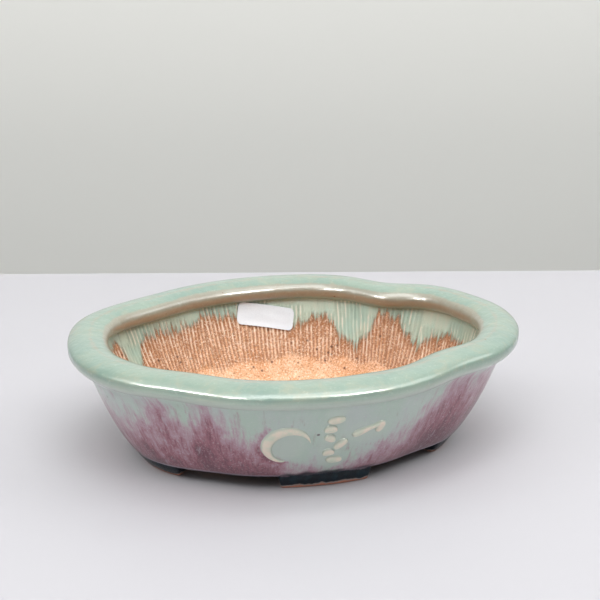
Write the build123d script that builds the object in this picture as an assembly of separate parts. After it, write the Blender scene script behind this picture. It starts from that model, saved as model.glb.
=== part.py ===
from build123d import *
import math
import os

# A four-lobed stoneware bonsai pot: a floor slab, a bowl wall that stands on it, a rolled rim
# on the wall's top, four slab feet luted under the floor, a small moulded relief on the front
# and a blank stock sticker inside. X runs along the pot, Y from front to back, Z up.
# The origin is on the surface that the feet stand on, under the middle of the pot.

# ---- driving dimensions, mm ----
RIM_LENGTH = 188.0            # over the roll, end to end
RIM_WIDTH = 146.0             # over the roll, front to back
POT_HEIGHT = 53.9             # from the feet to the roll's crest
BASE_LENGTH = 139.0           # underside of the bowl, end to end
BASE_WIDTH = 90.0             # underside of the bowl, front to back

# the outline is pressed in by hand at its four corners, and less evenly beside the back ones:
# degrees round from +X, and depth, which is negative where the clay was let out
NOTCHES = [(23.0, 1.8), (52.0, 8.4), (128.0, 1.6), (155.0, -2.6), (230.0, 3.4), (308.0, 4.6)]
NOTCH_SPREAD = 13.5           # half-width of a notch, degrees
RIM_PRESS = 1.0               # share of the notch depth at the rim
BASE_PRESS = 0.5              # and at the underside, where the press fades

ROLL_WIDTH = 17.2             # the rolled rim's section, across
ROLL_RISE = 4.5               # from the roll's widest line up to its crest
ROLL_DROP = 6.4               # and how far its round would run down below that line
ROLL_BED_HALF = 4.7           # half the width of the flat that the roll sits on the wall with
OVERHANG_ENDS = 6.2           # how far the roll stands out past the wall at the two ends
OVERHANG_SIDES = 3.4          # and along the two long sides
OVERHANG_INSIDE = 4.4         # and how far it stands in over the soil space

FLOOR_THICKNESS = 6.0
COVE_INSET = 4.0              # the flat floor's edge, in from the underside's outline
WALL_BELLY = (0.58, 0.78)     # outer curve: share of the way in, and down, at its bend
CAVITY_BELLY = (0.50, 0.88)   # the same for the inside

FOOT_HEIGHT = 6.0
FOOT_DEPTH = 9.0              # from a foot's outer face to its inner one
# where each foot starts and ends at the ground, degrees round the outline
FRONT_FOOT_TURN = (257.0, 288.0)
BACK_FOOT_TURN = (74.5, 105.5)
RIGHT_FOOT_TURN = (-36.0, 36.0)
LEFT_FOOT_TURN = (144.0, 216.0)
FOOT_DRAFT_ENDS = 4.0         # how far the end feet lean in towards the ground
FOOT_DRAFT_SIDES = 1.0        # the same for the front and back feet
FOOT_FLARE = 1.6              # how much wider a foot is at the top, on each side

DRAIN_BORE = 20.0             # diameter of each of the two drain holes
DRAIN_SPACING = 60.0          # between their centres, along the pot

RELIEF_HEIGHT = 0.9           # how far the moulded relief stands off the wall
MOON_CENTRE = (-16.3, 1.3)    # x, and height from the middle of the wall
MOON_RADIUS = 9.5
MOON_BITE_RADIUS = 8.0        # the round taken out of the disc, which leaves a crescent
MOON_BITE_SHIFT = (2.4, -2.2)
# each leaf: x, height from the middle of the wall, half length, half width, tilt in degrees
LEAVES = [
    (1.9, 13.2, 3.6, 1.4, 14),
    (0.2, 8.3, 2.7, 1.4, 4),
    (0.4, 3.5, 2.5, 1.3, -25),
    (5.2, -0.1, 3.3, 1.3, 38),
    (0.8, -4.5, 2.5, 1.3, 10),
    (3.6, -8.7, 3.4, 1.4, -8),
]
WISP_LINE = [(8.6, 3.5), (15.0, 6.5), (21.6, 8.9), (19.0, 3.5)]
WISP_WIDTH = 2.6

LABEL_LENGTH = 26.0
LABEL_HEIGHT = 9.4
LABEL_THICKNESS = 0.3
LABEL_CORNER = 2.2
LABEL_TILT = 11.0             # degrees, falling to the right
LABEL_X = -0.9
LABEL_DROP = 7.6              # its middle, below the wall's top

# ---- worked out from the values above ----
ROLL_HALF = ROLL_WIDTH / 2
ROLL_CENTRE_Z = POT_HEIGHT - ROLL_RISE
BED_ANGLE = math.acos(ROLL_BED_HALF / ROLL_HALF)
BED_Z = ROLL_CENTRE_Z - ROLL_DROP * math.sin(BED_ANGLE)
FLOOR_TOP = FOOT_HEIGHT + FLOOR_THICKNESS
OPENING_INSET = ROLL_WIDTH - OVERHANG_INSIDE
WALL_MIDDLE_Z = (FOOT_HEIGHT + BED_Z) / 2

RING_POINTS = 64
WALL_RINGS = 9
ROLL_RINGS = 13
REACH = RIM_LENGTH            # longer than the way from the middle out through any wall
WEDGE_MARGIN = 3.0            # how far a foot's wedge runs past the ring, in and out
WEDGE_BULGE = 30.0            # and out from its middle, so that it clears the ring's curve


def outline_point(half_length, half_width, press, degrees, inset=0.0):
    """A point of an ellipse pressed in by a share of the notches, and the way out from it."""
    c, s = math.cos(math.radians(degrees)), math.sin(math.radians(degrees))
    out = Vector(half_width * c, half_length * s).normalized()
    pushed = inset
    for corner, depth in NOTCHES:
        away = (degrees - corner + 180) % 360 - 180
        pushed += press * depth * math.exp(-((away / NOTCH_SPREAD) ** 2))
    return Vector(half_length * c, half_width * s) - out * pushed, out


def lobed_ring(half_length, half_width, press, z, inset=0.0):
    """The pressed outline as a closed curve at height z."""
    points = []
    for index in range(RING_POINTS):
        point, _ = outline_point(half_length, half_width, press, 360 * index / RING_POINTS, inset)
        points.append(point + Vector(0, 0, z))
    return Wire([Edge.make_spline(points, periodic=True)])


def closed_loft(rings):
    """A solid skinned through level rings, with a flat face on the first and the last."""
    skin = Shell.make_loft(rings)
    return Solid(Shell([*skin.faces(), Face(rings[0]), Face(rings[-1])]))


def filled_bowl(top, bottom, belly, outset=0.0):
    """A solid bowl; top and bottom are (half length, half width, share of the notches, z)."""
    rings = []
    for index in range(WALL_RINGS):
        u = index / (WALL_RINGS - 1)
        inward = 2 * u * (1 - u) * belly[0] + u * u
        down = 2 * u * (1 - u) * belly[1] + u * u
        shares = (inward, inward, inward, down)
        size = [high + (low - high) * share for high, low, share in zip(top, bottom, shares)]
        rings.append(lobed_ring(*size, inset=-outset))
    return closed_loft(rings)


def outer_bowl(outset=0.0):
    top = (RIM_LENGTH / 2 - OVERHANG_ENDS, RIM_WIDTH / 2 - OVERHANG_SIDES, RIM_PRESS, BED_Z)
    bottom = (BASE_LENGTH / 2, BASE_WIDTH / 2, BASE_PRESS, FOOT_HEIGHT)
    return filled_bowl(top, bottom, WALL_BELLY, outset)


def soil_space(outset=0.0):
    """What the pot holds, from the floor's top face up to the roll's bed."""
    top = (RIM_LENGTH / 2 - OPENING_INSET, RIM_WIDTH / 2 - OPENING_INSET, RIM_PRESS, BED_Z)
    bottom = (BASE_LENGTH / 2 - COVE_INSET, BASE_WIDTH / 2 - COVE_INSET, BASE_PRESS, FLOOR_TOP)
    return filled_bowl(top, bottom, CAVITY_BELLY, outset)


def below(z):
    """A block wider than the pot that ends at height z."""
    return Pos(0, 0, z - REACH) * Box(3 * REACH, 3 * REACH, 2 * REACH)


def rim_roll():
    """The rolled lip: a round section carried round the outline, flat where it meets the wall."""
    rings = []
    for index in range(ROLL_RINGS):
        angle = -BED_ANGLE + (math.pi + 2 * BED_ANGLE) * index / (ROLL_RINGS - 1)
        inset = ROLL_HALF * (1 - math.cos(angle))
        swell = ROLL_RISE if angle > 0 and angle < math.pi else ROLL_DROP
        z = ROLL_CENTRE_Z + swell * math.sin(angle)
        rings.append(lobed_ring(RIM_LENGTH / 2, RIM_WIDTH / 2, RIM_PRESS, z, inset))
    skin = Shell.make_loft(rings)
    bed = Face(rings[0], [rings[-1]])
    return Solid(Shell([*skin.faces(), bed]))


def floor_slab(outer):
    """The base slab, with a drain hole through each half."""
    slab = outer & below(FLOOR_TOP)
    for side in (-1, 1):
        bore = Cylinder(DRAIN_BORE / 2, 4 * FLOOR_TOP)
        slab = slab - Pos(side * DRAIN_SPACING / 2, 0, 0) * bore
    return slab


def bowl_wall(outer, space):
    """The lobed wall, which stands on the floor slab and carries the roll."""
    return outer - below(FLOOR_TOP) - space


def foot_ring():
    """The ring that all four feet are cut from; it leans in towards the ground."""
    half_length, half_width = BASE_LENGTH / 2, BASE_WIDTH / 2
    top = (half_length, half_width, BASE_PRESS, FOOT_HEIGHT)
    ground = (half_length - FOOT_DRAFT_ENDS, half_width - FOOT_DRAFT_SIDES, BASE_PRESS, 0)
    outside = closed_loft([lobed_ring(*top), lobed_ring(*ground)])
    inside = closed_loft([lobed_ring(*top, inset=FOOT_DEPTH), lobed_ring(*ground, inset=FOOT_DEPTH)])
    return outside - inside


def foot_wedge(turns, flare, z):
    """The plan that one foot is cut to, at height z: its ends are square to the outline."""
    half_length, half_width = BASE_LENGTH / 2, BASE_WIDTH / 2
    (first, first_out), (last, last_out) = [
        outline_point(half_length, half_width, BASE_PRESS, degrees) for degrees in turns
    ]
    first += Vector(first_out.Y, -first_out.X) * flare
    last += Vector(-last_out.Y, last_out.X) * flare
    middle, middle_out = outline_point(half_length, half_width, BASE_PRESS, sum(turns) / 2)
    inward, outward = FOOT_DEPTH + WEDGE_MARGIN, WEDGE_MARGIN
    corners = [
        first - first_out * inward,
        first + first_out * outward,
        middle + middle_out * WEDGE_BULGE,
        last + last_out * outward,
        last - last_out * inward,
    ]
    return Pos(0, 0, z) * make_face(Polyline(*corners, close=True))


def foot(ring, turns):
    """One slab foot, cut from the ring; it is a little wider at the top."""
    wedge = loft([foot_wedge(turns, 0, 0), foot_wedge(turns, FOOT_FLARE, FOOT_HEIGHT)], ruled=True)
    return ring & wedge


def upright(x, z, sketch):
    """Stand a flat outline up, facing the front, with its middle at x and z."""
    return Plane.XZ * Pos(x, z) * sketch


def relief_pads(sketches, skin):
    """Pads that follow the wall, one for each outline."""
    return [extrude(sketch, amount=REACH) & skin for sketch in sketches]


def moon_outline():
    crescent = Circle(MOON_RADIUS) - Pos(*MOON_BITE_SHIFT) * Circle(MOON_BITE_RADIUS)
    x, height = MOON_CENTRE
    return upright(x, WALL_MIDDLE_Z + height, crescent)


def leaf_outlines():
    outlines = []
    for x, height, long, short, tilt in LEAVES:
        leaf = Rot(0, 0, tilt) * Ellipse(long, short)
        outlines.append(upright(x, WALL_MIDDLE_Z + height, leaf))
    return outlines


def wisp_outline():
    """A drifting wisp: a round-ended stroke that rises to the right and turns back."""
    points = [Vector(*point) for point in WISP_LINE]
    stroke = Sketch()
    for start, end in zip(points, points[1:]):
        run = end - start
        turn = math.degrees(math.atan2(run.Y, run.X))
        middle = (start + end) * 0.5
        stroke += Pos(middle.X, middle.Y) * Rot(0, 0, turn) * Rectangle(run.length, WISP_WIDTH)
    for point in points:
        stroke += Pos(point.X, point.Y) * Circle(WISP_WIDTH / 2)
    return upright(0, WALL_MIDDLE_Z, stroke)


def stock_label(space):
    """A blank paper sticker with round corners, flat against the back wall's inner face."""
    blank = RectangleRounded(LABEL_LENGTH, LABEL_HEIGHT, LABEL_CORNER)
    outline = upright(LABEL_X, BED_Z - LABEL_DROP, Rot(0, 0, -LABEL_TILT) * blank)
    return extrude(outline, amount=-REACH) & (space - soil_space(outset=-LABEL_THICKNESS))


def build():
    """Every piece of the pot, by name."""
    outer = outer_bowl()
    space = soil_space()
    ring = foot_ring()
    relief_skin = outer_bowl(outset=RELIEF_HEIGHT) - outer
    return {
        "floor_slab": floor_slab(outer),
        "bowl_wall": bowl_wall(outer, space),
        "rim_roll": rim_roll(),
        "foot_front": foot(ring, FRONT_FOOT_TURN),
        "foot_right": foot(ring, RIGHT_FOOT_TURN),
        "foot_back": foot(ring, BACK_FOOT_TURN),
        "foot_left": foot(ring, LEFT_FOOT_TURN),
        "moon_relief": Compound(relief_pads([moon_outline()], relief_skin)),
        "leaf_relief": Compound(relief_pads(leaf_outlines(), relief_skin)),
        "wisp_relief": Compound(relief_pads([wisp_outline()], relief_skin)),
        "stock_label": stock_label(space),
    }


os.makedirs("parts", exist_ok=True)
for name, piece in build().items():
    export_step(piece, f"parts/{name}.step")
    print(name, round(piece.volume), "mm3")
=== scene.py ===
import math

import bmesh
import bpy
from mathutils import Matrix, Vector, noise


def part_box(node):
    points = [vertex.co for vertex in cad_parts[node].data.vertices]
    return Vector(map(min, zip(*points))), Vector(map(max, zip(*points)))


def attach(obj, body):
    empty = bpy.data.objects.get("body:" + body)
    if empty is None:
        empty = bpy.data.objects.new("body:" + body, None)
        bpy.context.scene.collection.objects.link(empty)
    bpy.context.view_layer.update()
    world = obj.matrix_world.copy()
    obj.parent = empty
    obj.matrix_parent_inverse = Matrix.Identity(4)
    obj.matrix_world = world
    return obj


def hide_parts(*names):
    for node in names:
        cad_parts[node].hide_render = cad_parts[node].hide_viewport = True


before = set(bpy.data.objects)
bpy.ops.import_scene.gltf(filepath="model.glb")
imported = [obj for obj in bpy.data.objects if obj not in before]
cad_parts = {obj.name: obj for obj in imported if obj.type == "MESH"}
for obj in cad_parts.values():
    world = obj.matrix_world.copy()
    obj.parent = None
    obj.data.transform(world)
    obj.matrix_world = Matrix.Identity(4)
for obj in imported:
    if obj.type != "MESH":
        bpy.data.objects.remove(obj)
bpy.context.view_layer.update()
MM = 0.001

# ---------------------------------------------------------------- sizes, from the frame
RIM_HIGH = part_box("rim_roll")[1]
WALL_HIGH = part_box("bowl_wall")[1]
SLAB_LOW, SLAB_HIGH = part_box("floor_slab")

RIM_A = RIM_HIGH.x
RIM_B = RIM_HIGH.y
POT_TOP = RIM_HIGH.z
WALL_TOP = WALL_HIGH.z
FLOOR_Z = SLAB_HIGH.z
LIP_Z = SLAB_LOW.z

# shape values that the clay pieces share, as in the solids; each notch is the degrees round the
# pot where a hand pressed the outline, and how far in it went there (less than 0 is let out)
NOTCHES = [
    (23.0, 1.8 * MM), (52.0, 8.4 * MM), (128.0, 1.6 * MM), (155.0, -2.6 * MM),
    (230.0, 3.4 * MM), (308.0, 4.6 * MM),
]
NOTCH_SPREAD = 13.5   # degrees
BASE_PRESS = 0.5      # how much of each notch is left at the base
ROLL_HALF = 8.6 * MM
ROLL_RISE = 4.5 * MM
ROLL_DROP = 6.4 * MM
ROLL_MIDDLE_Z = POT_TOP - ROLL_RISE
WALL_A = WALL_HIGH.x
WALL_B = WALL_HIGH.y
BASE_A = 69.5 * MM
BASE_B = 45.0 * MM
WALL_BELLY = (0.58, 0.78)     # how far in and down the curve's middle handle stands
OPENING_INSET = 12.8 * MM
CAVITY_BELLY = (0.50, 0.88)
COVE_INSET = 4.0 * MM


# ---------------------------------------------------------------- shape helpers
def outline(angle, half_a, half_b, press, inset=0.0):
    """A point of the lobed outline, and the way out from it, at an angle round the pot."""
    c, s = math.cos(angle), math.sin(angle)
    out = Vector((half_b * c, half_a * s, 0)).normalized()
    pushed = inset
    for corner, depth in NOTCHES:
        away = (math.degrees(angle) - corner + 180) % 360 - 180
        pushed += press * depth * math.exp(-((away / NOTCH_SPREAD) ** 2))
    return Vector((half_a * c, half_b * s, 0)) - out * pushed, out


def bowl_curve(share, top, bottom, belly):
    """Half sizes, notch share and height, a share of the way down a bowl's side."""
    inward = 2 * share * (1 - share) * belly[0] + share * share
    down = 2 * share * (1 - share) * belly[1] + share * share
    mix = (inward, inward, inward, down)
    return [high + (low - high) * m for high, low, m in zip(top, bottom, mix)]


def outer_side(share):
    """The bowl's outer line: half sizes, notch share and height."""
    top = (WALL_A, WALL_B, 1.0, WALL_TOP)
    return bowl_curve(share, top, (BASE_A, BASE_B, BASE_PRESS, LIP_Z), WALL_BELLY)


def inner_side(share):
    """The bowl's inner line: half sizes, notch share and height."""
    top = (RIM_A - OPENING_INSET, RIM_B - OPENING_INSET, 1.0, WALL_TOP)
    bottom = (BASE_A - COVE_INSET, BASE_B - COVE_INSET, BASE_PRESS, FLOOR_Z)
    return bowl_curve(share, top, bottom, CAVITY_BELLY)


def share_at(z, belly, top_z, bottom_z):
    """The share of the way down a bowl's side that lies at height z."""
    down = (top_z - z) / (top_z - bottom_z)
    k = belly[1]
    return (k - math.sqrt(k * k - (2 * k - 1) * down)) / (2 * k - 1)


def swirl(point, scale, seed=0.0):
    """Smooth noise of a place, from -1 to 1; scale is the size of its lumps in metres."""
    return noise.noise(Vector(point) / scale + Vector((seed, seed * 1.7, seed * 0.6)))


def smooth(low, high, value):
    """Goes gently from 0 to 1 as value goes from low to high."""
    t = min(1.0, max(0.0, (value - low) / (high - low)))
    return t * t * (3 - 2 * t)


def lerp(start, end, share):
    return start + (end - start) * share


def ring_solid(rows, segments, layers=()):
    """Carries a ring of points through rows, the last of which meets the first again.

    A row takes an angle round the pot, and gives a place, how far down the side it lies, and a
    value for each named layer. The layer "flow" follows the side, for glaze that ran down it."""
    bm = bmesh.new()
    turn = bm.verts.layers.float.new("turn")
    flow = bm.verts.layers.float_vector.new("flow")
    values = [bm.verts.layers.float.new(name) for name in layers]

    def place(verts, row):
        for vert in verts:
            co, down, *numbers = row(vert[turn])
            vert.co = co
            vert[flow] = (RIM_A * math.cos(vert[turn]), RIM_B * math.sin(vert[turn]), -down)
            for layer, number in zip(values, numbers):
                vert[layer] = number

    ring = bmesh.ops.create_circle(bm, segments=segments, radius=1.0)["verts"]
    for vert in ring:
        vert[turn] = math.atan2(vert.co.y, vert.co.x)
    place(ring, rows[0])
    first = list(bm.edges)
    edges = first
    for row in rows[1:]:
        grown = bmesh.ops.extrude_edge_only(bm, edges=edges)["geom"]
        new = {item for item in grown if isinstance(item, bmesh.types.BMVert)}
        place(new, row)
        grown_edges = [item for item in grown if isinstance(item, bmesh.types.BMEdge)]
        edges = [edge for edge in grown_edges if set(edge.verts) <= new]
    bmesh.ops.bridge_loops(bm, edges=first + edges)
    bmesh.ops.recalc_face_normals(bm, faces=bm.faces)
    bm.verts.layers.float.remove(turn)
    return bm


def finished(bm, name, nodes, material):
    """Makes the piece from its bmesh, rides it on the body and hides the nodes that it stands in for."""
    for face in bm.faces:
        face.smooth = True
    mesh = bpy.data.meshes.new(name)
    bm.to_mesh(mesh)
    bm.free()
    mesh.materials.append(material)
    piece = bpy.data.objects.new(name, mesh)
    bpy.context.scene.collection.objects.link(piece)
    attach(piece, "root")
    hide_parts(*nodes)
    return piece


# ---------------------------------------------------------------- materials
def tint(red, green, blue):
    """A colour given as 0 to 255 screen values, as the shader wants it."""

    def linear(value):
        share = value / 255
        return share / 12.92 if value < 10 else ((share + 0.055) / 1.055) ** 2.4

    return linear(red), linear(green), linear(blue), 1.0


class Finish:
    """A material under construction: short calls that add one node each."""

    def __init__(self, name, roughness, coat=0.0, specular=0.5):
        self.material = bpy.data.materials.new(name)
        self.material.use_nodes = True
        self.tree = self.material.node_tree
        self.shader = self.tree.nodes["Principled BSDF"]
        self.shader.inputs["Roughness"].default_value = roughness
        self.shader.inputs["Coat Weight"].default_value = coat
        self.shader.inputs["Coat Roughness"].default_value = 0.10
        self.shader.inputs["Specular IOR Level"].default_value = specular
        self.coords = self.tree.nodes.new("ShaderNodeTexCoord").outputs["Object"]

    def link(self, value, socket):
        """Joins a node's output to the socket, or sets a plain value on it."""
        if isinstance(value, bpy.types.NodeSocket):
            self.tree.links.new(value, socket)
        else:
            socket.default_value = value

    def stretched(self, x, y, z):
        """Object coordinates, scaled along each axis."""
        node = self.tree.nodes.new("ShaderNodeMapping")
        node.inputs["Scale"].default_value = (x, y, z)
        self.link(self.coords, node.inputs["Vector"])
        return node.outputs["Vector"]

    def layer(self, name):
        """The node that reads a value painted on the piece's points."""
        node = self.tree.nodes.new("ShaderNodeAttribute")
        node.attribute_name = name
        return node

    def flow(self, along):
        """Coordinates that follow the side of the pot: runs are stretched down it."""
        node = self.tree.nodes.new("ShaderNodeVectorMath")
        node.operation = "MULTIPLY"
        self.link(self.layer("flow").outputs["Vector"], node.inputs[0])
        node.inputs[1].default_value = (1, 1, along)
        return node.outputs["Vector"]

    def noise(self, vector, size, detail=3.0, rough=0.55, warp=0.0):
        """Noise with lumps of about size metres."""
        node = self.tree.nodes.new("ShaderNodeTexNoise")
        self.link(vector, node.inputs["Vector"])
        node.inputs["Scale"].default_value = 1 / size
        node.inputs["Detail"].default_value = detail
        node.inputs["Roughness"].default_value = rough
        node.inputs["Distortion"].default_value = warp
        return node.outputs["Fac"]

    def cells(self, vector, size):
        """How far a place is from the middle of its cell, in cells of about size metres."""
        node = self.tree.nodes.new("ShaderNodeTexVoronoi")
        self.link(vector, node.inputs["Vector"])
        node.inputs["Scale"].default_value = 1 / size
        return node.outputs["Distance"]

    def band(self, value, low, high, start=0.0, end=1.0):
        """Turns low to high into start to end, smoothly."""
        node = self.tree.nodes.new("ShaderNodeMapRange")
        node.interpolation_type = "SMOOTHSTEP"
        self.link(value, node.inputs["Value"])
        self.link(low, node.inputs["From Min"])
        self.link(high, node.inputs["From Max"])
        node.inputs["To Min"].default_value = start
        node.inputs["To Max"].default_value = end
        return node.outputs["Result"]

    def sum(self, operation, first, second):
        node = self.tree.nodes.new("ShaderNodeMath")
        node.operation = operation
        self.link(first, node.inputs[0])
        self.link(second, node.inputs[1])
        return node.outputs["Value"]

    def times(self, first, second):
        return self.sum("MULTIPLY", first, second)

    def plus(self, first, second):
        return self.sum("ADD", first, second)

    def lean(self, value, weight):
        """Centres a noise on nothing and gives it a weight."""
        return self.times(self.sum("SUBTRACT", value, 0.5), weight)

    def painted(self, name):
        return self.layer(name).outputs["Fac"]

    def height(self):
        """Height above the table, in metres."""
        node = self.tree.nodes.new("ShaderNodeSeparateXYZ")
        self.link(self.coords, node.inputs["Vector"])
        return node.outputs["Z"]

    def mix(self, share, under, over):
        node = self.tree.nodes.new("ShaderNodeMix")
        node.data_type = "RGBA"
        self.link(share, node.inputs["Factor"])
        self.link(under, node.inputs[6])
        self.link(over, node.inputs[7])
        return node.outputs[2]

    def bump(self, height, depth, normal=None):
        node = self.tree.nodes.new("ShaderNodeBump")
        node.inputs["Distance"].default_value = depth
        self.link(height, node.inputs["Height"])
        if normal is not None:
            self.link(normal, node.inputs["Normal"])
        return node.outputs["Normal"]

    def done(self, colour, normal=None, roughness=None):
        """Links what was made to the shader, and gives the material."""
        self.link(colour, self.shader.inputs["Base Color"])
        if normal is not None:
            self.link(normal, self.shader.inputs["Normal"])
        if roughness is not None:
            self.link(roughness, self.shader.inputs["Roughness"])
        return self.material


# ---------------------------------------------------------------- the glazes and the clay
CELADON = tint(134, 154, 139)
CELADON_DEEP = tint(120, 146, 134)
CELADON_WARM = tint(158, 158, 136)
THIN_GLAZE_AND_SHADE = tint(150, 144, 128)
BROWN_BREAK = tint(122, 84, 56)
LILAC = tint(176, 152, 162)
GREY_GREEN = tint(178, 190, 184)
PLUM = tint(146, 88, 102)
PLUM_DARK = tint(106, 56, 72)
CREAM = tint(226, 212, 194)
TEAL_BLACK = tint(12, 30, 42)
RED_CLAY = tint(150, 92, 78)


def celadon_glaze():
    """The rim: thick even celadon, warmer and thinner where it breaks over the crest; taupe on the roll's
    inner side, partly thin glaze and partly painted shade; a paler band under the roll's outer side as
    painted light.
    """
    f = Finish("celadon_glaze", 0.35, coat=0.9)
    f.shader.inputs["Coat Roughness"].default_value = 0.15
    cloud = f.noise(f.coords, 0.024, 4, 0.6)
    fine = f.noise(f.coords, 0.0016, 4, 0.7)
    drift = f.noise(f.flow(1.0), 0.009, 4, 0.65, 0.5)
    colour = f.mix(f.band(cloud, 0.35, 0.68), CELADON, CELADON_DEEP)
    colour = f.mix(f.band(drift, 0.46, 0.70, 0, 0.45), colour, CELADON_WARM)
    # taupe where the glaze breaks thin over the crest, and on the roll's inner side, where it is partly
    # painted shade; the darker brown sits mostly in that shaded band
    thin = f.painted("thin")
    ragged = f.plus(thin, f.lean(f.noise(f.coords, 0.0045, 5, 0.7), 0.9))
    ragged = f.plus(ragged, f.lean(cloud, 0.9))
    colour = f.mix(f.band(ragged, 0.38, 0.85, 0, 0.85), colour, THIN_GLAZE_AND_SHADE)
    colour = f.mix(f.band(ragged, 0.95, 1.35, 0, 0.45), colour, tint(134, 114, 92))
    # painted light: a paler colour under the roll's outer side
    colour = f.mix(f.times(f.painted("low"), 0.8), colour, tint(186, 198, 186))
    pits = f.band(f.cells(f.coords, 0.0075), 0.075, 0.03)
    speck = f.times(pits, f.band(ragged, 0.25, 0.6))
    colour = f.mix(speck, colour, BROWN_BREAK)
    colour = f.mix(f.band(fine, 0.55, 0.75, 0, 0.22), colour, tint(196, 204, 190))
    colour = f.mix(f.band(fine, 0.42, 0.25, 0, 0.20), colour, tint(118, 136, 122))
    bump = f.bump(f.noise(f.coords, 0.007, 3), 0.0006)
    bump = f.bump(fine, 0.00007, bump)
    return f.done(colour, bump, f.band(drift, 0.3, 0.8, 0.30, 0.42))


def flambe_glaze():
    """The outside: celadon that turns lilac and plum as it runs down, in streaks."""
    f = Finish("flambe_glaze", 0.28, coat=0.4)
    plum = f.painted("plum")
    cover = f.painted("veil")
    runs = f.noise(f.flow(0.30), 0.0050, 5, 0.6, 0.4)
    broad = f.noise(f.flow(0.55), 0.019, 4, 0.55)
    hair = f.noise(f.flow(0.25), 0.0012, 4, 0.65)
    cloud = f.noise(f.coords, 0.0065, 4, 0.6)
    pull = f.plus(f.lean(runs, 1.2), f.lean(broad, 1.3))
    pull = f.plus(pull, f.plus(f.lean(hair, 0.9), f.lean(cloud, 0.8)))
    amount = f.plus(plum, pull)
    amount = f.sum("SUBTRACT", amount, f.times(cover, 0.45))
    colour = f.mix(f.band(broad, 0.35, 0.65), tint(172, 192, 178), GREY_GREEN)
    blush = f.plus(f.lean(runs, 2.2), f.lean(hair, 1.6))
    blush = f.plus(blush, f.times(amount, 0.5))
    colour = f.mix(f.band(blush, 0.1, 0.9, 0, 0.65), colour, tint(150, 124, 118))
    colour = f.mix(f.band(amount, 0.05, 0.65), colour, LILAC)
    colour = f.mix(f.band(amount, 0.35, 1.15), colour, PLUM)
    colour = f.mix(f.band(f.plus(amount, f.lean(hair, 1.4)), 0.85, 1.7), colour, PLUM_DARK)
    milk = f.plus(f.lean(f.noise(f.flow(0.4), 0.0028, 5, 0.7), 2.4), f.lean(cloud, 1.0))
    colour = f.mix(f.band(milk, 0.18, 0.62, 0, 0.55), colour, tint(176, 170, 178))
    frost = f.noise(f.coords, 0.0009, 2, 0.6)
    colour = f.mix(f.times(f.band(frost, 0.56, 0.72), 0.35), colour, tint(202, 196, 200))
    pale = f.times(f.band(f.plus(cover, f.lean(cloud, 1.6)), 0.2, 1.0), 0.55)
    colour = f.mix(pale, colour, tint(182, 196, 184))
    iron = f.times(f.band(f.cells(f.coords, 0.0095), 0.085, 0.05), f.band(cloud, 0.5, 0.6))
    colour = f.mix(f.times(iron, 0.8), colour, tint(84, 50, 66))
    # painted highlight: a pale lilac line along the rounded lip
    colour = f.mix(f.times(f.painted("lip"), 0.7), colour, tint(180, 170, 186))
    # dark teal beneath the bowl and above the front foot: partly dark glaze, partly painted shade
    colour = f.mix(f.painted("under"), colour, TEAL_BLACK)
    bump = f.bump(f.noise(f.flow(0.2), 0.006, 3), 0.0004)
    bump = f.bump(frost, 0.00008, bump)
    return f.done(colour, bump)


def combed_clay():
    """The inside: orange clay scratched with a comb, glazed at the top, cream on the ridges that is partly
    painted highlight, and painted shade in the grooves of the bare clay.
    """
    f = Finish("combed_clay", 0.85, specular=0.3)
    glaze = f.painted("glaze")
    crest = f.painted("crest")
    groove = f.painted("groove")
    grit = f.noise(f.coords, 0.00075, 5, 0.8)
    patch = f.noise(f.coords, 0.009, 4, 0.6)
    drip = f.noise(f.flow(0.14), 0.0021, 5, 0.75)
    clay = f.mix(f.band(patch, 0.35, 0.65), tint(234, 188, 152), tint(216, 160, 116))
    # painted shade: darker clay down in the comb grooves
    clay = f.mix(f.times(groove, 0.8), clay, tint(140, 94, 64))
    clay = f.mix(f.band(grit, 0.52, 0.62, 0, 0.85), clay, tint(168, 110, 72))
    clay = f.mix(f.band(grit, 0.60, 0.68, 0, 0.9), clay, tint(98, 60, 40))
    clay = f.mix(f.band(grit, 0.47, 0.38, 0, 0.9), clay, tint(250, 228, 206))
    clay = f.mix(f.band(f.cells(f.coords, 0.0046), 0.17, 0.07, 0, 0.85), clay, tint(90, 54, 38))
    edge = f.plus(f.plus(glaze, f.lean(drip, 2.4)), f.lean(grit, 0.9))
    edge = f.plus(edge, f.lean(patch, 0.5))
    cover = f.band(edge, 0.38, 0.70)
    rusty = f.times(f.band(edge, -0.15, 0.44), f.band(grit, 0.35, 0.6, 0.35, 0.95))
    clay = f.mix(rusty, clay, tint(160, 104, 62))
    broken = f.plus(f.noise(f.flow(0.6), 0.0013, 5, 0.8), f.times(glaze, 0.08))
    # cream on the ridge tops of the bare clay: partly cream, partly painted highlight
    ridge_cream_and_highlight = f.times(f.band(crest, 0.30, 0.70), f.band(broken, 0.40, 0.55))
    clay = f.mix(f.times(ridge_cream_and_highlight, 0.9), clay, tint(240, 222, 202))
    coat = f.mix(f.band(f.noise(f.coords, 0.013, 3), 0.35, 0.65), tint(176, 206, 192), tint(190, 206, 188))
    coat = f.mix(f.band(drip, 0.50, 0.68, 0, 0.6), coat, tint(200, 206, 190))
    coat = f.mix(f.band(drip, 0.46, 0.30, 0, 0.5), coat, tint(120, 142, 128))
    coat = f.mix(f.times(groove, 0.3), coat, tint(112, 132, 110))
    # pale cream streaks on the ridge tops under the glaze: partly glaze, partly painted highlight
    streaks = f.times(f.band(crest, 0.35, 0.85), f.band(broken, 0.40, 0.58, 0.1, 0.8))
    coat = f.mix(streaks, coat, tint(222, 220, 204))
    spots = f.times(f.band(grit, 0.55, 0.66), f.band(edge, 1.25, 0.6))
    coat = f.mix(f.times(spots, 0.8), coat, tint(136, 94, 60))
    colour = f.mix(cover, clay, coat)
    shine = f.band(f.sum("MAXIMUM", cover, f.times(ridge_cream_and_highlight, 0.7)), 0, 1, 0.85, 0.18)
    bump = f.bump(grit, 0.0005)
    bump = f.bump(cover, 0.0001, bump)
    return f.done(colour, bump, shine)


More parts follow.
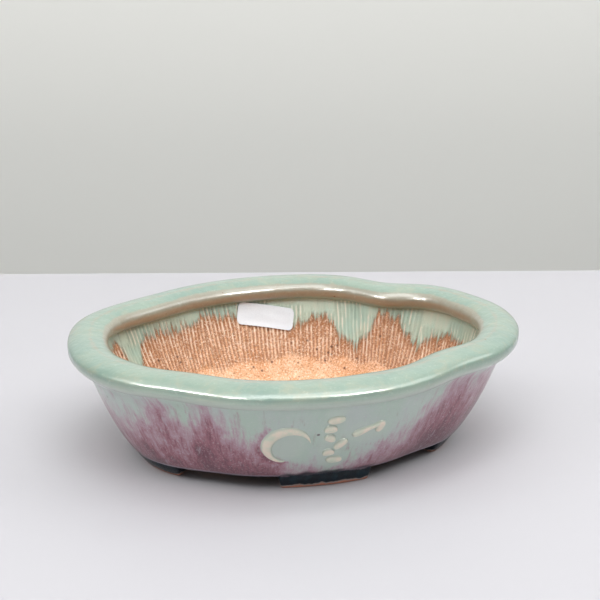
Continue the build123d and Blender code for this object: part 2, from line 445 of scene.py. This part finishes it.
def foot_glaze():
    """The feet: thick dark teal glaze that stops short of the ground, red clay below it."""
    f = Finish("foot_glaze", 0.30, specular=0.25)
    wave = f.lean(f.noise(f.stretched(1, 1, 0.3), 0.007, 3), 0.0035)
    level = f.plus(f.height(), wave)
    glaze = f.mix(f.band(f.noise(f.coords, 0.004, 3), 0.4, 0.7), tint(7, 20, 30), tint(16, 40, 50))
    clay = f.mix(f.noise(f.coords, 0.0012, 3, 0.7), RED_CLAY, tint(186, 132, 110))
    edge = f.mix(f.band(level, 0.0009, 0.0013), clay, tint(140, 128, 122))
    colour = f.mix(f.band(level, 0.0013, 0.0019), edge, glaze)
    colour = f.mix(f.band(level, 0.0056, 0.0072), colour, LILAC)
    bump = f.bump(f.noise(f.coords, 0.0016, 4, 0.7), 0.0002)
    return f.done(colour, bump, f.band(level, 0.0010, 0.0018, 0.85, 0.28))


def bare_clay():
    """The floor slab: unglazed and gritty, darker towards its underside."""
    f = Finish("bare_clay", 0.88, specular=0.25)
    grit = f.noise(f.coords, 0.00075, 5, 0.8)
    patch = f.noise(f.coords, 0.012, 4, 0.6)
    colour = f.mix(f.band(patch, 0.35, 0.65), tint(224, 168, 122), tint(208, 144, 96))
    colour = f.mix(f.band(grit, 0.52, 0.62, 0, 0.7), colour, tint(176, 116, 76))
    colour = f.mix(f.band(grit, 0.61, 0.69, 0, 0.9), colour, tint(98, 60, 40))
    colour = f.mix(f.band(grit, 0.46, 0.36, 0, 0.7), colour, tint(240, 200, 164))
    colour = f.mix(f.band(f.cells(f.coords, 0.0055), 0.16, 0.07, 0, 0.85), colour, tint(96, 58, 40))
    below = f.band(f.height(), 0.0105, 0.0065)
    colour = f.mix(f.times(below, 0.85), colour, tint(104, 74, 62))
    return f.done(colour, f.bump(grit, 0.0005))


def cream_slip():
    """The relief: cream slip under a thin clear glaze."""
    f = Finish("cream_slip", 0.28, coat=0.3)
    colour = f.mix(f.band(f.noise(f.coords, 0.0045, 3), 0.35, 0.7), CREAM, tint(200, 208, 188))
    edge = f.painted("edge")
    colour = f.mix(f.band(edge, 0.05, 0.80), colour, tint(176, 186, 172))
    return f.done(colour, f.bump(f.noise(f.coords, 0.0016, 3), 0.0001))


def label_paper():
    """The stock label: plain white paper, a little soft at its face."""
    f = Finish("label_paper", 0.45)
    fibre = f.noise(f.coords, 0.0006, 4, 0.7)
    colour = f.mix(f.band(fibre, 0.4, 0.7), tint(200, 207, 214), tint(193, 200, 208))
    return f.done(colour, f.bump(fibre, 0.00003))


# ---------------------------------------------------------------- rolled rim
ROLL_STEPS = 48
ROLL_SEGMENTS = 560


def roll_row(turn_share):
    """One line round the roll; turn_share 0 is outermost, a quarter is the crest."""
    around = 2 * math.pi * turn_share
    up, side = math.sin(around), math.cos(around)
    rise = ROLL_RISE if up > 0 else ROLL_DROP * 0.98

    def row(angle):
        spot, out = outline(angle, RIM_A, RIM_B, 1.0)
        hand = 0.28 * MM * swirl((spot.x, spot.y, 0), 0.030, 3)
        hand += 0.12 * MM * swirl((spot.x, spot.y, up * 0.01), 0.012, 8)
        reach = (ROLL_HALF + hand) * (1 - side) - 0.25 * MM
        lift = (rise + hand) * up
        co = spot - out * max(reach, 0.0)
        co.z = ROLL_MIDDLE_Z + lift - (0.30 * MM if up > 0 else 0)
        crest = math.exp(-(((turn_share - 0.27) / 0.035) ** 2)) * 0.62
        # taupe band on the roll's inner side and under it: partly thin glaze, partly painted shade
        inner = smooth(0.33, 0.42, turn_share) * (1 - smooth(0.56, 0.66, turn_share)) * 1.0
        # paler band under the roll's outer side: painted light, standing in for light from the front and the
        # highlight's glow
        low = smooth(0.66, 0.80, turn_share) * (1 - smooth(0.93, 1.0, turn_share))
        return co, turn_share * 0.05, max(crest, inner), low

    return row


def make_rim():
    rows = [roll_row(step / ROLL_STEPS) for step in range(ROLL_STEPS)]
    bm = ring_solid(rows, ROLL_SEGMENTS, layers=("thin", "low"))
    return finished(bm, "rolled_rim", ["rim_roll"], celadon_glaze())


# ---------------------------------------------------------------- bowl wall, outside
WALL_MIDDLE = (WALL_TOP + LIP_Z) / 2
MOON = (-16.3 * MM, WALL_MIDDLE + 1.3 * MM)
MOON_RADIUS = 9.5 * MM
MOON_BITE = 7.4 * MM
MOON_SHIFT = (2.4 * MM, -2.2 * MM)
WALL_SEGMENTS = 560
# glaze pools under the roll between these heights
POOL_START = 38.0 * MM
POOL_END = 45.4 * MM
POOL_DEPTH = 2.6 * MM
# where the plum starts: degrees round the pot, and height in mm
PLUM_EDGE = [
    (0, 33), (25, 30), (48, 37), (70, 27), (95, 32), (118, 36), (140, 27), (165, 32), (190, 31),
    (204, 28), (212, 33), (222, 38), (227, 31), (234, 39), (243, 33), (251, 28), (258, 14),
    (270, 9), (280, 14), (288, 20), (296, 27), (303, 36), (310, 43), (325, 44), (345, 36),
]
# lower edge of the glaze inside
GLAZE_EDGE = [
    (5, 31), (20, 36), (27, 34), (34, 28), (40, 33), (45, 40), (51, 42), (55, 32), (60, 26), (65, 29),
    (72, 37), (84, 32), (98, 38), (112, 41), (122, 38), (131, 40), (139, 37), (146, 24), (152, 41),
    (158, 38), (166, 24), (185, 30), (210, 37), (240, 33), (265, 38), (290, 34), (320, 39), (345, 28),
]


def height_round(table, angle):
    """Reads a height from a table that goes round the pot, easing between its places."""
    degrees = math.degrees(angle) % 360
    stops = [(table[-1][0] - 360, table[-1][1]), *table, (table[0][0] + 360, table[0][1])]
    for (start, low), (end, high) in zip(stops, stops[1:]):
        if degrees <= end:
            return lerp(low, high, smooth(start, end, degrees)) * MM
    return stops[-1][1] * MM


# the middles of the pale glaze behind the moon, the leaves and the wisp: across, and height
PALE_MOON = (-16.3 * MM, 26.3 * MM)
PALE_LEAVES = 1.6 * MM
PALE_WISP = (15 * MM, 30 * MM)


def veil(co):
    """How much the pale glaze round the relief has run over the wall at this place."""
    if co.y > 0:
        return 0.0
    disc = 1 - smooth(6.5 * MM, 10.5 * MM, math.hypot(co.x - PALE_MOON[0], co.z - PALE_MOON[1]))
    column = (1 - smooth(3 * MM, 6.5 * MM, abs(co.x - PALE_LEAVES))) * smooth(9 * MM, 15 * MM, co.z)
    wisp = 1 - smooth(4 * MM, 8 * MM, math.hypot(0.6 * (co.x - PALE_WISP[0]), co.z - PALE_WISP[1]))
    return max(disc, 0.85 * column, 0.8 * wisp)


def wall_row(share, lip=0.0, under=0.0):
    """One line round the outside; lip lowers it, and under runs it in beneath the bowl."""

    def row(angle):
        half_a, half_b, press, z = outer_side(share)
        overhang = lerp(RIM_B - WALL_B, RIM_A - WALL_A, math.cos(angle) ** 2)
        pool = max(0.0, (z - lip - POOL_START) / (POOL_END - POOL_START))
        fillet = min(overhang - 2.3 * MM, POOL_DEPTH) * pool ** 2.5
        spot, out = outline(angle, half_a, half_b, press, under - fillet)
        hand = 0.22 * MM * swirl((spot.x, spot.y, z), 0.022, 5) - 0.15 * MM
        co = spot + out * hand
        co.z = z - lip
        plum = (height_round(PLUM_EDGE, angle) - z) / (26 * MM) + 0.45
        rim_of_moon = math.hypot(co.x - MOON[0], co.z - MOON[1]) - MOON_RADIUS - 0.9 * MM
        if co.y < 0 and co.x < MOON[0] + 2 * MM:
            plum += 0.45 * math.exp(-((rim_of_moon / (1.0 * MM)) ** 2))
        # painted highlight along the rounded lip at the foot of the wall
        painted_lip_highlight = smooth(0.93, 0.97, share) * (1 - smooth(0.2 * MM, 1.2 * MM, under))
        # dark teal beneath the bowl: partly dark glaze, partly painted shade under the pot
        dark = smooth(0.3 * MM, 0.9 * MM, under + 0.3 * MM * swirl(spot, 0.006, 2))
        # the front foot's dark glaze reaches a little up the wall, darkened further there as painted shade at
        # the joint
        degrees = math.degrees(angle) % 360
        over_foot = smooth(254, 260, degrees) * (1 - smooth(285, 291, degrees))
        drop = z - LIP_Z + 2.2 * MM * swirl((spot.x, spot.y, 0), 0.004, 7)
        dark = max(dark, 0.85 * over_foot * (1 - smooth(0.8 * MM, 3.6 * MM, drop)))
        return co, share * 0.045, plum, painted_lip_highlight, dark, veil(co)

    return row


def hidden_row(share, inset, rise=0.0):
    """A line inside the clay, where nothing shows."""

    def row(angle):
        half_a, half_b, press, z = outer_side(share)
        spot, out = outline(angle, half_a, half_b, press, inset)
        spot.z = z + rise
        return spot, 0.0, 0.0, 0.0, 1.0, 0.0

    return row


def make_wall_outside():
    shares = [step / 30 for step in range(29)] + [0.955, 0.975, 0.99]
    rows = [hidden_row(0.0, 3.6 * MM, 2.0 * MM), hidden_row(0.0, 0.4 * MM, 2.0 * MM)]
    rows += [wall_row(0.0, -rise * MM) for rise in (1.4, 0.95, 0.45)]
    rows += [wall_row(share) for share in shares]
    # round and in beneath the bowl: how far down, how far in; dropping up to 1.5 mm below the lip, this dark
    # teal underside is partly dark glaze and partly painted shade under the pot
    for lip, under in ((0.1, 0.45), (0.7, 1.0), (1.3, 2.0), (1.5, 4.0), (-0.5, 9.0)):
        rows.append(wall_row(1.0, lip * MM, under * MM))
    rows += [hidden_row(0.9, 2.4 * MM), hidden_row(0.5, 2.0 * MM)]
    bm = ring_solid(rows, WALL_SEGMENTS, layers=("plum", "lip", "under", "veil"))
    return finished(bm, "wall_outside", ["bowl_wall"], flambe_glaze())


# ---------------------------------------------------------------- bowl wall, inside
COMB_PITCH = 1.9 * MM
COMB_WIDTH = 15.0 * MM
LINING_SEGMENTS = 1800


def arc_table(half_a, half_b, steps=720):
    """Distance along an ellipse, from +X, at even angles."""
    lengths = [0.0]
    for step in range(steps):
        middle = 2 * math.pi * (step + 0.5) / steps
        speed = math.hypot(half_a * math.sin(middle), half_b * math.cos(middle))
        lengths.append(lengths[-1] + speed * 2 * math.pi / steps)
    return lengths


# the opening's own line, which the comb followed
ARC = arc_table(RIM_A - OPENING_INSET, RIM_B - OPENING_INSET)


def arc_at(angle):
    """Distance round the opening at an angle."""
    place = (angle % (2 * math.pi)) / (2 * math.pi) * (len(ARC) - 1)
    low = min(int(place), len(ARC) - 2)
    return lerp(ARC[low], ARC[low + 1], place - low)


def comb_ridge(angle, z):
    """Height, 0 to 1, of the ridges that the comb left, and how fresh the scratch is there."""
    along = arc_at(angle)
    swipe = round((along + 3 * MM * swirl((along, z * 0.3, 0), 0.02, 4)) / COMB_WIDTH)
    chance = noise.cell(Vector((swipe + 0.5, 3.5, 7.5)))
    lean = 0.10 * (chance - 0.5)
    top = WALL_TOP - (1.5 + 5.0 * noise.cell(Vector((swipe + 0.5, 9.5, 1.5)))) * MM
    phase = (along + lean * (z - FLOOR_Z) + 0.25 * MM * swirl((along, z, 0), 0.006, 6)) / COMB_PITCH + chance
    ridge = (0.5 + 0.5 * math.cos(2 * math.pi * phase)) ** 1.4
    ridge *= 0.65 + 0.35 * noise.cell(Vector((round(phase) + 0.5, swipe + 0.5, round(z / (5 * MM)) + 0.5)))
    foot_of_swipe = z + 2.5 * MM * swirl((along, 0, 0), 0.009, 3)
    fresh = (1 - smooth(top - 1.5 * MM, top + 1.0 * MM, z)) * smooth(17 * MM, 23 * MM, foot_of_swipe)
    fresh *= 0.8 + 0.3 * swirl((along, z * 0.4, 0), 0.008, 9)
    return ridge, fresh


def lining_row(share, sink=0.0, raised=0.0):
    """One line round the inside, down to the cove."""

    def row(angle):
        half_a, half_b, press, z = inner_side(share)
        spot, out = outline(angle, half_a, half_b, press)
        ridge, fresh = comb_ridge(angle, z)
        glaze = (z - height_round(GLAZE_EDGE, angle)) / (9 * MM) + 0.5
        depth = lerp(0.75, 0.45, smooth(0.4, 0.8, glaze)) * MM
        hand = 0.3 * MM * swirl((spot.x, spot.y, z), 0.014, 7)
        co = spot - out * (ridge * fresh * depth + hand)
        co += out * sink
        co.z = z + raised
        worn = smooth(0.10, 0.5, fresh)
        return co, share * 0.04, glaze, ridge * worn, (1 - ridge) ** 2 * worn

    return row


def make_wall_inside():
    shares = [step / 34 for step in range(35)]
    # above the wall, into the roll: how far out, how far up
    rows = [lining_row(0.0, out * MM, up * MM) for out, up in ((2.0, 3.0), (0.4, 2.4), (0.1, 1.2))]
    rows += [lining_row(share) for share in shares]
    # into the floor, and back up inside the clay
    rows += [lining_row(1.0, -0.6 * MM, -0.6 * MM), lining_row(1.0, 3.0 * MM, -0.6 * MM)]
    rows.append(lining_row(0.6, 3.0 * MM))
    bm = ring_solid(rows, LINING_SEGMENTS, layers=("glaze", "crest", "groove"))
    return finished(bm, "wall_inside", ["bowl_wall"], combed_clay())


# ---------------------------------------------------------------- floor slab
BORE_RADIUS = 10.0 * MM
BORE_ROUNDING = 0.9 * MM
BORE_PLACES = (-30.0 * MM, 30.0 * MM)
SLAB_SKIN = 0.15 * MM


def from_bore(co):
    """How far a place is from the middle of the nearer drain hole, and that middle."""
    middle = min((Vector((x, 0, 0)) for x in BORE_PLACES), key=lambda m: (co - m).xy.length)
    return (co - middle).xy.length, middle


def make_slab():
    """The floor: a plate cut to the outline and round both drain holes, with softened rims."""
    bm = bmesh.new()
    bmesh.ops.create_grid(bm, x_segments=170, y_segments=120, size=1.0)
    bmesh.ops.scale(bm, vec=(BASE_A, BASE_B, 1), verts=bm.verts)
    cut_radius = BORE_RADIUS + 0.7 * MM
    gone = []
    for face in bm.faces:
        middle = face.calc_center_median()
        angle = math.atan2(middle.y / BASE_B, middle.x / BASE_A)
        edge_point, _ = outline(angle, BASE_A, BASE_B, BASE_PRESS, 1.6 * MM)
        if middle.xy.length > edge_point.length or from_bore(middle)[0] < cut_radius:
            gone.append(face)
    bmesh.ops.delete(bm, geom=gone, context="FACES")
    for vert in bm.verts:
        reach, middle = from_bore(vert.co)
        if reach < 1.6 * cut_radius and vert.is_boundary:
            vert.co = middle + (vert.co - middle).normalized() * cut_radius
    grown = bmesh.ops.extrude_face_region(bm, geom=list(bm.faces))["geom"]
    top = [item for item in grown if isinstance(item, bmesh.types.BMVert)]
    bmesh.ops.translate(bm, verts=bm.verts, vec=(0, 0, LIP_Z + SLAB_SKIN))
    bmesh.ops.translate(bm, verts=top, vec=(0, 0, FLOOR_Z - LIP_Z - SLAB_SKIN))
    rims = []
    for edge in bm.edges:
        level = abs(edge.verts[0].co.z - edge.verts[1].co.z) < 1 * MM
        if level and all(abs(from_bore(v.co)[0] - cut_radius) < 0.01 * MM for v in edge.verts):
            rims.append(edge)
    bmesh.ops.bevel(bm, geom=rims, offset=BORE_ROUNDING, segments=4, profile=0.5, affect="EDGES")
    for vert in bm.verts:
        fade = smooth(BORE_RADIUS, BORE_RADIUS * 1.5, from_bore(vert.co)[0])
        vert.co.z += 0.14 * MM * fade * swirl(vert.co, 0.011, 2)
    bmesh.ops.recalc_face_normals(bm, faces=bm.faces)
    return finished(bm, "floor_plate", ["floor_slab"], bare_clay())


# ---------------------------------------------------------------- feet
FOOT_TOP = 6.0 * MM
FOOT_DEPTH = 9.0 * MM
FOOT_ROUNDING = 1.1 * MM
# each foot: piece, node, its two ends in degrees round the base, how far in it stands, seed
FEET = [
    ("front_foot", "foot_front", 257.0, 288.0, 1.0 * MM, 1),
    ("back_foot", "foot_back", 74.5, 105.5, 1.0 * MM, 4),
    ("right_foot", "foot_right", -36.0, 36.0, 4.0 * MM, 2),
    ("left_foot", "foot_left", 144.0, 216.0, 4.0 * MM, 3),
]


def rounded(box, half, radius):
    """Moves a place on a box's skin on to the same box with rounded edges, except at its top."""
    core = Vector(max(-(h - radius), min(h - radius, b)) for b, h in zip(box, half))
    if box.z > 0:
        core.z = box.z
    beyond = box - core
    return core + beyond.normalized() * radius if beyond.length > 1e-7 else box


def foot_piece(name, node, start, end, draft, seed):
    """A foot bent along the base, from one angle to the other; draft is how far in it stands."""
    bm = bmesh.new()
    bmesh.ops.create_cube(bm, size=2.0)
    bmesh.ops.subdivide_edges(bm, edges=bm.edges, cuts=42, use_grid_fill=True)
    middle, half_turn = math.radians((start + end) / 2), math.radians((end - start) / 2)
    inset = draft + FOOT_DEPTH / 2
    first, last = (outline(math.radians(turn), BASE_A, BASE_B, BASE_PRESS, inset)[0] for turn in (start, end))
    half_length = (last - first).length / 2
    half = Vector((half_length, FOOT_DEPTH / 2, FOOT_TOP / 2 + 0.4 * MM))
    for vert in bm.verts:
        spread = Vector(math.sin(c * math.pi / 2) for c in vert.co)
        box = Vector(s * h for s, h in zip(spread, half))
        box = rounded(box, half, FOOT_ROUNDING)
        height = box.z + half.z
        lean = draft * (1 - height / FOOT_TOP) + 0.3 * MM
        flare = 1 + 0.05 * smooth(1 * MM, FOOT_TOP, height)
        turn = middle + half_turn * flare * box.x / half_length
        spot, out = outline(turn, BASE_A, BASE_B, BASE_PRESS, lean + FOOT_DEPTH / 2 - box.y)
        swell = 0.25 * MM * math.exp(-((height - 3.6 * MM) / (1.6 * MM)) ** 2)
        spot += out * (swell * (1 if box.y > 0 else -1) + 0.22 * MM * swirl(spot, 0.008, seed))
        spot.z = min(height, FOOT_TOP + 0.6 * MM)
        vert.co = spot
    bmesh.ops.recalc_face_normals(bm, faces=bm.faces)
    return finished(bm, name, [node], foot_glaze())


# ---------------------------------------------------------------- relief on the front
def on_wall(x, z, side_of, belly, bottom_z, front=True):
    """The point of a bowl's side at a width and a height, and the way out of the wall there."""
    half_a, half_b, press, _ = side_of(share_at(z, belly, WALL_TOP, bottom_z))
    low, high = (-math.pi, 0.0) if front else (math.pi, 0.0)
    for _ in range(30):
        angle = (low + high) / 2
        spot, out = outline(angle, half_a, half_b, press)
        low, high = (angle, high) if spot.x < x else (low, angle)
    spot.z = z
    return spot, out


def wall_point(x, z):
    """A place on the front of the wall, and the way straight out of it."""
    spot, _ = on_wall(x, z, outer_side, WALL_BELLY, LIP_Z)
    right, _ = on_wall(x + 0.5 * MM, z, outer_side, WALL_BELLY, LIP_Z)
    above, _ = on_wall(x, z + 0.5 * MM, outer_side, WALL_BELLY, LIP_Z)
    return spot, (right - spot).cross(above - spot).normalized()


def raised_strip(bm, left, right, height, along=48, across=16):
    """A soft raised strip between two lines on the front wall, carried a little into it."""
    made = bmesh.ops.create_grid(bm, x_segments=along, y_segments=across, size=1.0)["verts"]
    edge = bm.verts.layers.float["edge"]
    for vert in made:
        u, v = (vert.co.x + 1) / 2, math.sin(vert.co.y * math.pi / 2)
        x, z = (lerp(a, b, (v + 1) / 2) for a, b in zip(left(u), right(u)))
        spot, out = wall_point(x, z)
        dome = max(0.0, 1 - abs(v) ** 2.4) * max(0.0, 1 - abs(2 * u - 1) ** 14)
        vert.co = spot + out * (height * dome ** 0.75 + 0.05 * MM * swirl(spot, 0.003, 3) - 0.15 * MM)
        vert[edge] = max(abs(v) ** 3, abs(2 * u - 1) ** 10)
    rim = list({e for vert in made for e in vert.link_edges if e.is_boundary})
    grown = bmesh.ops.extrude_edge_only(bm, edges=rim)["geom"]
    new = {item for item in grown if isinstance(item, bmesh.types.BMVert)}
    for vert in new:
        vert.co -= wall_point(vert.co.x, vert.co.z)[1] * 0.8 * MM
    inner = [edge for edge in grown if isinstance(edge, bmesh.types.BMEdge) and set(edge.verts) <= new]
    bmesh.ops.holes_fill(bm, edges=inner)


# each leaf: across, up from the middle of the wall, half length, half thickness (mm), tilt
LEAVES = [
    (1.9, 13.2, 3.6, 1.4, 14), (0.2, 8.3, 2.7, 1.4, 4), (0.4, 3.5, 2.5, 1.3, -25),
    (5.2, -0.1, 3.3, 1.3, 38), (0.8, -4.5, 2.5, 1.3, 10), (3.6, -8.7, 3.4, 1.4, -8),
]
# the wisp's corners: across, up from the middle of the wall (mm)
WISP = [(8.6, 3.5), (15.0, 6.5), (21.6, 8.9), (19.0, 3.5)]
WISP_WIDTH = 3.2 * MM


def relief_piece(name, node, strips):
    """One piece of relief, from strips that each have two lines and a height."""
    bm = bmesh.new()
    bm.verts.layers.float.new("edge")
    for left, right, height in strips:
        raised_strip(bm, left, right, height)
    bmesh.ops.recalc_face_normals(bm, faces=bm.faces)
    return finished(bm, name, [node], cream_slip())


def round_arc(centre, radius, start, end):
    """A line along a circle, from one angle to the other."""

    def point(u):
        turn = lerp(start, end, u)
        return centre[0] + radius * math.cos(turn), centre[1] + radius * math.sin(turn)

    return point


def make_moon():
    """A thin crescent: the part of a disc left when a smaller disc is taken from it."""
    gap = math.hypot(*MOON_SHIFT)
    lean = math.atan2(MOON_SHIFT[1], MOON_SHIFT[0])
    outer_tip = math.acos((gap * gap + MOON_RADIUS ** 2 - MOON_BITE ** 2) / (2 * gap * MOON_RADIUS))
    inner_tip = math.acos((MOON_RADIUS ** 2 - gap * gap - MOON_BITE ** 2) / (2 * gap * MOON_BITE))
    bite = (MOON[0] + MOON_SHIFT[0], MOON[1] + MOON_SHIFT[1])
    outer = round_arc(MOON, MOON_RADIUS, lean + outer_tip, lean + 2 * math.pi - outer_tip)
    inner = round_arc(bite, MOON_BITE, lean + inner_tip, lean + 2 * math.pi - inner_tip)
    relief_piece("raised_moon", "moon_relief", [(inner, outer, 0.95 * MM)])


def leaf_sides(x, z, long, short, tilt):
    """The lower and the upper line of a leaf."""
    c, s = math.cos(math.radians(tilt)), math.sin(math.radians(tilt))

    def side(way):
        def point(u):
            along = long * (2 * u - 1)
            thick = 1.6 * short * max(0.04, 1 - abs(2 * u - 1) ** 2.6) ** 0.6 * way
            thick += 0.18 * short * math.sin(3 * u + x / MM)
            return x + along * c - thick * s, z + along * s + thick * c

        return point

    return side(-1), side(1)


def make_leaves():
    strips = []
    for across, up, long, short, tilt in LEAVES:
        below, above = leaf_sides(across * MM, WALL_MIDDLE + up * MM, long * MM, short * MM, tilt)
        strips.append((below, above, 0.9 * MM))
    relief_piece("raised_leaves", "leaf_relief", strips)


def wisp_path(u):
    """The middle line of the wisp, eased round its corners."""
    count = len(WISP) - 1
    place = u * count
    total = Vector((0, 0))
    weight = 0.0
    for step in range(-6, 7):
        t = min(count - 1e-6, max(0.0, place + step * 0.09))
        low = int(t)
        w = math.exp(-((step / 3.5) ** 2))
        total += w * Vector(WISP[low]).lerp(Vector(WISP[low + 1]), t - low)
        weight += w
    total /= weight
    return Vector((total.x * MM, WALL_MIDDLE + total.y * MM))


def wisp_side(way):
    """One side line of the wisp; way is -1 or 1."""

    def point(u):
        run = (wisp_path(min(1, u + 0.01)) - wisp_path(max(0, u - 0.01))).normalized()
        ends = max(0.05, 1 - abs(2 * u - 1) ** 9) ** 0.5
        half = WISP_WIDTH / 2 * ends * (0.95 + 0.25 * math.sin(9 * u + 0.4))
        spot = wisp_path(u) + Vector((-run.y, run.x)) * half * way
        return spot.x, spot.y

    return point


def make_wisp():
    relief_piece("raised_wisp", "wisp_relief", [(wisp_side(-1), wisp_side(1), 0.9 * MM)])


# ---------------------------------------------------------------- label
LABEL_SIZE = (26.0 * MM, 9.4 * MM)
LABEL_CORNER = 2.2 * MM
LABEL_TILT = math.radians(-11)
# how far the paper's face and back stand off the wall
LABEL_FACE = 0.95 * MM
LABEL_BACK = 0.62 * MM
LABEL_PLACE = (-2.6 * MM, WALL_TOP - 6.2 * MM)


def label_spot(u, v, off):
    """A place on the label: u and v run from -1 to 1 over it, off is the height off the wall."""
    half = Vector((LABEL_SIZE[0] / 2, LABEL_SIZE[1] / 2))
    flat = Vector((u * half.x, v * half.y))
    core = Vector(max(-(h - LABEL_CORNER), min(h - LABEL_CORNER, f)) for h, f in zip(half, flat))
    past = flat - core
    reach = max(abs(past.x), abs(past.y))
    if past.length > 1e-9:
        flat = core + past.normalized() * reach
    c, s = math.cos(LABEL_TILT), math.sin(LABEL_TILT)
    x = LABEL_PLACE[0] + flat.x * c - flat.y * s
    z = LABEL_PLACE[1] + flat.x * s + flat.y * c
    spot, out = on_wall(x, z, inner_side, CAVITY_BELLY, FLOOR_Z, front=False)
    return spot - out * off


def make_label():
    bm = bmesh.new()
    bmesh.ops.create_grid(bm, x_segments=70, y_segments=30, size=1.0)
    faces = list(bm.faces)
    for vert in bm.verts:
        u, v = (math.sin(c * math.pi / 2) for c in vert.co.xy)
        vert.co = (u, v, 0)
    grown = bmesh.ops.extrude_face_region(bm, geom=faces)["geom"]
    front = {item for item in grown if isinstance(item, bmesh.types.BMVert)}
    for vert in bm.verts:
        wave = 0.08 * MM * swirl((vert.co.x * 0.02, vert.co.y * 0.02, 0), 0.012, 2)
        vert.co = label_spot(vert.co.x, vert.co.y, (LABEL_FACE if vert in front else LABEL_BACK) + wave)
    bmesh.ops.recalc_face_normals(bm, faces=bm.faces)
    return finished(bm, "paper_label", ["stock_label"], label_paper())


# ---------------------------------------------------------------- build the pieces
make_rim()
make_wall_outside()
make_wall_inside()
make_slab()
for foot in FEET:
    foot_piece(*foot)
make_moon()
make_leaves()
make_wisp()
make_label()


# ---------------------------------------------------------------- table, backdrop, light, camera
def direction(turn, rise):
    """The way from the pot to something that stands at a turn and a rise in front of it."""
    return Vector((math.sin(turn) * math.cos(rise), -math.cos(turn) * math.cos(rise), math.sin(rise)))


CAMERA_TURN = -0.2025
BACKDROP_DISTANCE = 0.239


def plain(name, colour, roughness):
    """A material of one even colour."""
    f = Finish(name, roughness, specular=0.3)
    f.shader.inputs["Base Color"].default_value = colour
    return f.material


def make_stage():
    """The table, and the wall behind it."""
    away = -direction(CAMERA_TURN, 0)
    across = Vector((-away.y, away.x, 0))
    for name, colour, size in (("table", tint(182, 181, 185), 1.2), ("backdrop", tint(226, 226, 221), 3.0)):
        mesh = bpy.data.meshes.new(name)
        bm = bmesh.new()
        bmesh.ops.create_grid(bm, x_segments=1, y_segments=1, size=size)
        bm.to_mesh(mesh)
        bm.free()
        mesh.materials.append(plain(name, colour, 0.6))
        part = bpy.data.objects.new(name, mesh)
        bpy.context.scene.collection.objects.link(part)
        part.rotation_euler = (0, 0, math.atan2(across.y, across.x))
        if name == "table":
            part.location = away * (BACKDROP_DISTANCE - size)
        else:
            part.rotation_euler.x = math.pi / 2
            part.location = away * (BACKDROP_DISTANCE + 0.35)


def softbox(name, place, size, power, aim=(0, 0, 0.03), colour=(1, 1, 1)):
    light = bpy.data.lights.new(name, "AREA")
    light.shape = "RECTANGLE"
    light.size, light.size_y = size
    light.energy = power
    light.color = colour
    lamp = bpy.data.objects.new(name, light)
    lamp.location = place
    lamp.rotation_euler = (Vector(aim) - Vector(place)).to_track_quat("-Z", "Y").to_euler()
    bpy.context.scene.collection.objects.link(lamp)
    return lamp


def make_light():
    world = bpy.data.worlds.new("room")
    bpy.context.scene.world = world
    world.use_nodes = True
    world.node_tree.nodes["Background"].inputs["Color"].default_value = (0.93, 0.96, 1.0, 1)
    world.node_tree.nodes["Background"].inputs["Strength"].default_value = 0.16
    softbox("overhead", (0.0, -0.05, 1.3), (1.8, 1.0), 6.0)
    softbox("front", 1.5 * direction(-0.15, 1.02), (1.4, 0.5), 15.5)
    softbox("side_left", 1.3 * direction(-1.35, 0.75), (0.8, 0.5), 4.2)
    softbox("side_right", 1.3 * direction(1.25, 0.75), (0.8, 0.5), 5.0)
    softbox("backdrop_wash", (0.1, -0.3, 1.6), (1.0, 0.4), 6.5, aim=(-0.1, 0.9, 0.3))
    # lamps that only glint on the roll
    for name, turn, rise, width, power in (
        ("far_left", -60, 33, 0.16, 12), ("left", -38, 28, 0.24, 17), ("right", 27, 38, 0.40, 22),
    ):
        place = 1.25 * direction(math.radians(turn), math.radians(rise))
        lamp = softbox(name, place, (width, 0.40), power, colour=(1.0, 0.96, 0.91))
        lamp.visible_diffuse = False


def make_camera():
    data = bpy.data.cameras.new("camera")
    data.sensor_width = 36
    data.lens = 89.3
    camera = bpy.data.objects.new("camera", data)
    bpy.context.scene.collection.objects.link(camera)
    bpy.context.scene.camera = camera
    turn, rise, roll = -0.204, 0.327, -0.006
    back = direction(turn, rise)
    right = Vector((math.cos(turn), math.sin(turn), 0))
    up = back.cross(right)
    c, s = math.cos(roll), math.sin(roll)
    right, up = right * c + up * s, up * c - right * s
    place = Vector((0, 0, 0.025)) + 0.6278 * direction(-0.201, 0.386)
    camera.matrix_world = Matrix((right, up, back)).transposed().to_4x4()
    camera.location = place
    data.clip_start = 0.02


make_stage()
make_light()
make_camera()
scene = bpy.context.scene
scene.view_settings.view_transform = "Standard"
scene.view_settings.exposure = 0.0

bpy.context.view_layer.update()
